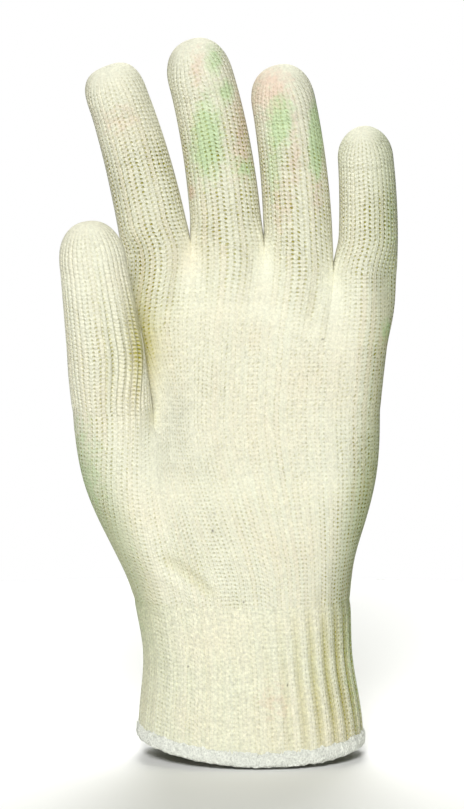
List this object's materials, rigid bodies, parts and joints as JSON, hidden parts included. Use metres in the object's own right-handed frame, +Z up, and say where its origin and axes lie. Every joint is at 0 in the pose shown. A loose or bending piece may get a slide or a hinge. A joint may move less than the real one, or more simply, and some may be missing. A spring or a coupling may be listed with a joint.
{
  "type": "glove liner",
  "caption": "Seamless knitted glove liner in its worn form, fingers up, hollow, with a ribbed elastic wrist and an overlocked edge.",
  "frame": {"origin": "middle of the opening that the hand goes in by, in the plane that touches the hem's lowest points", "axes": "+Z up along the hand towards the fingertips, palm side faces -Y, thumb on the -X side"},
  "size_m": [0.1113, 0.0642, 0.241],
  "materials": {
    "knit": "matte undyed cotton string, plain knit",
    "cuff_knit": "matte undyed cotton string with elastic, ribbed",
    "edge_thread": "matte whitish overlock thread, slightly fuzzy"
  },
  "bodies": {
    "root": {"palm": "knit", "index_finger": "knit", "middle_finger": "knit", "ring_finger": "knit", "little_finger": "knit", "thumb": "knit", "cuff": "cuff_knit", "hem_edging": "edge_thread"}
  },
  "joints": []
}
